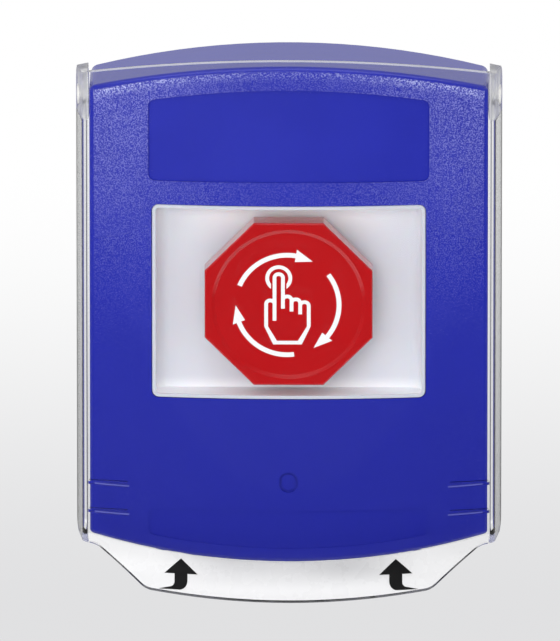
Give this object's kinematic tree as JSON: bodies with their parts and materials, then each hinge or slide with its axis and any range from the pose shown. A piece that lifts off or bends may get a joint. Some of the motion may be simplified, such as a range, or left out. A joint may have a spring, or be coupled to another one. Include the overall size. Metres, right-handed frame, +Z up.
{
  "type": "push button station",
  "caption": "Surface-mounted push button station: blue housing, recessed octagonal turn-to-reset button, and a clear hinged lift-up cover with a flared lip.",
  "frame": {"origin": "on the wall plane, midway between the two box screws of the mounting plate", "axes": "+Z up, +X to the right seen from the room, -Y out of the wall towards the room"},
  "size_m": [0.1018, 0.0628, 0.1323],
  "materials": {
    "housing_blue": "fine sand-blasted moulded texture, smooth in the label fields",
    "tray_white": "satin moulded plastic",
    "button_red": "polished moulded plastic",
    "symbol_white": "inlaid second colour",
    "cover_clear": "clear polycarbonate",
    "label_white": "gloss label",
    "ink_black": "printed ink",
    "zinc_steel": "zinc plated",
    "spring_steel": "drawn wire",
    "frame_black": "glass-filled nylon",
    "block_grey": "moulded thermoset",
    "block_red": "moulded thermoset",
    "plunger_white": "acetal",
    "clamp_brass": "stamped"
  },
  "bodies": {
    "station": {"front_housing": "housing_blue", "window_tray": "tray_white", "tray_screws": "zinc_steel", "mounting_plate": "zinc_steel", "lock_screw": "zinc_steel", "hinge_pins": "plunger_white", "return_spring": "spring_steel", "bushing": "frame_black", "lock_nut": "frame_black", "contact_carrier": "frame_black", "carrier_screw": "zinc_steel", "contact_block_no": "block_grey", "contact_block_nc": "block_red", "terminal_clamps": "clamp_brass", "terminal_screws": "zinc_steel"},
    "cover": {"clear_cover": "cover_clear", "cover_label": "label_white", "label_arrows": "ink_black"},
    "plunger": {"pusher": "plunger_white", "contact_plungers": "plunger_white"},
    "button": {"button_cap": "button_red", "button_symbol": "symbol_white", "stem_clip": "spring_steel"}
  },
  "joints": [
    {"name": "cover_hinge", "type": "hinge", "parent": "station", "child": "cover", "pos_m": [0, -0.0145, 0.052], "axis": [-1, 0, 0], "range_deg": [0, 90]},
    {"name": "button_push", "type": "slide", "parent": "station", "child": "plunger", "axis": [0, 1, 0], "range_m": [0, 0.003], "stiffness_N_per_m": 1200, "deforming": ["return_spring"]},
    {"name": "button_turn", "type": "hinge", "parent": "plunger", "child": "button", "pos_m": [0, 0, 0.0031], "axis": [0, 1, 0], "range_deg": [0, 30], "stiffness_Nm_per_rad": 0.05}
  ]
}
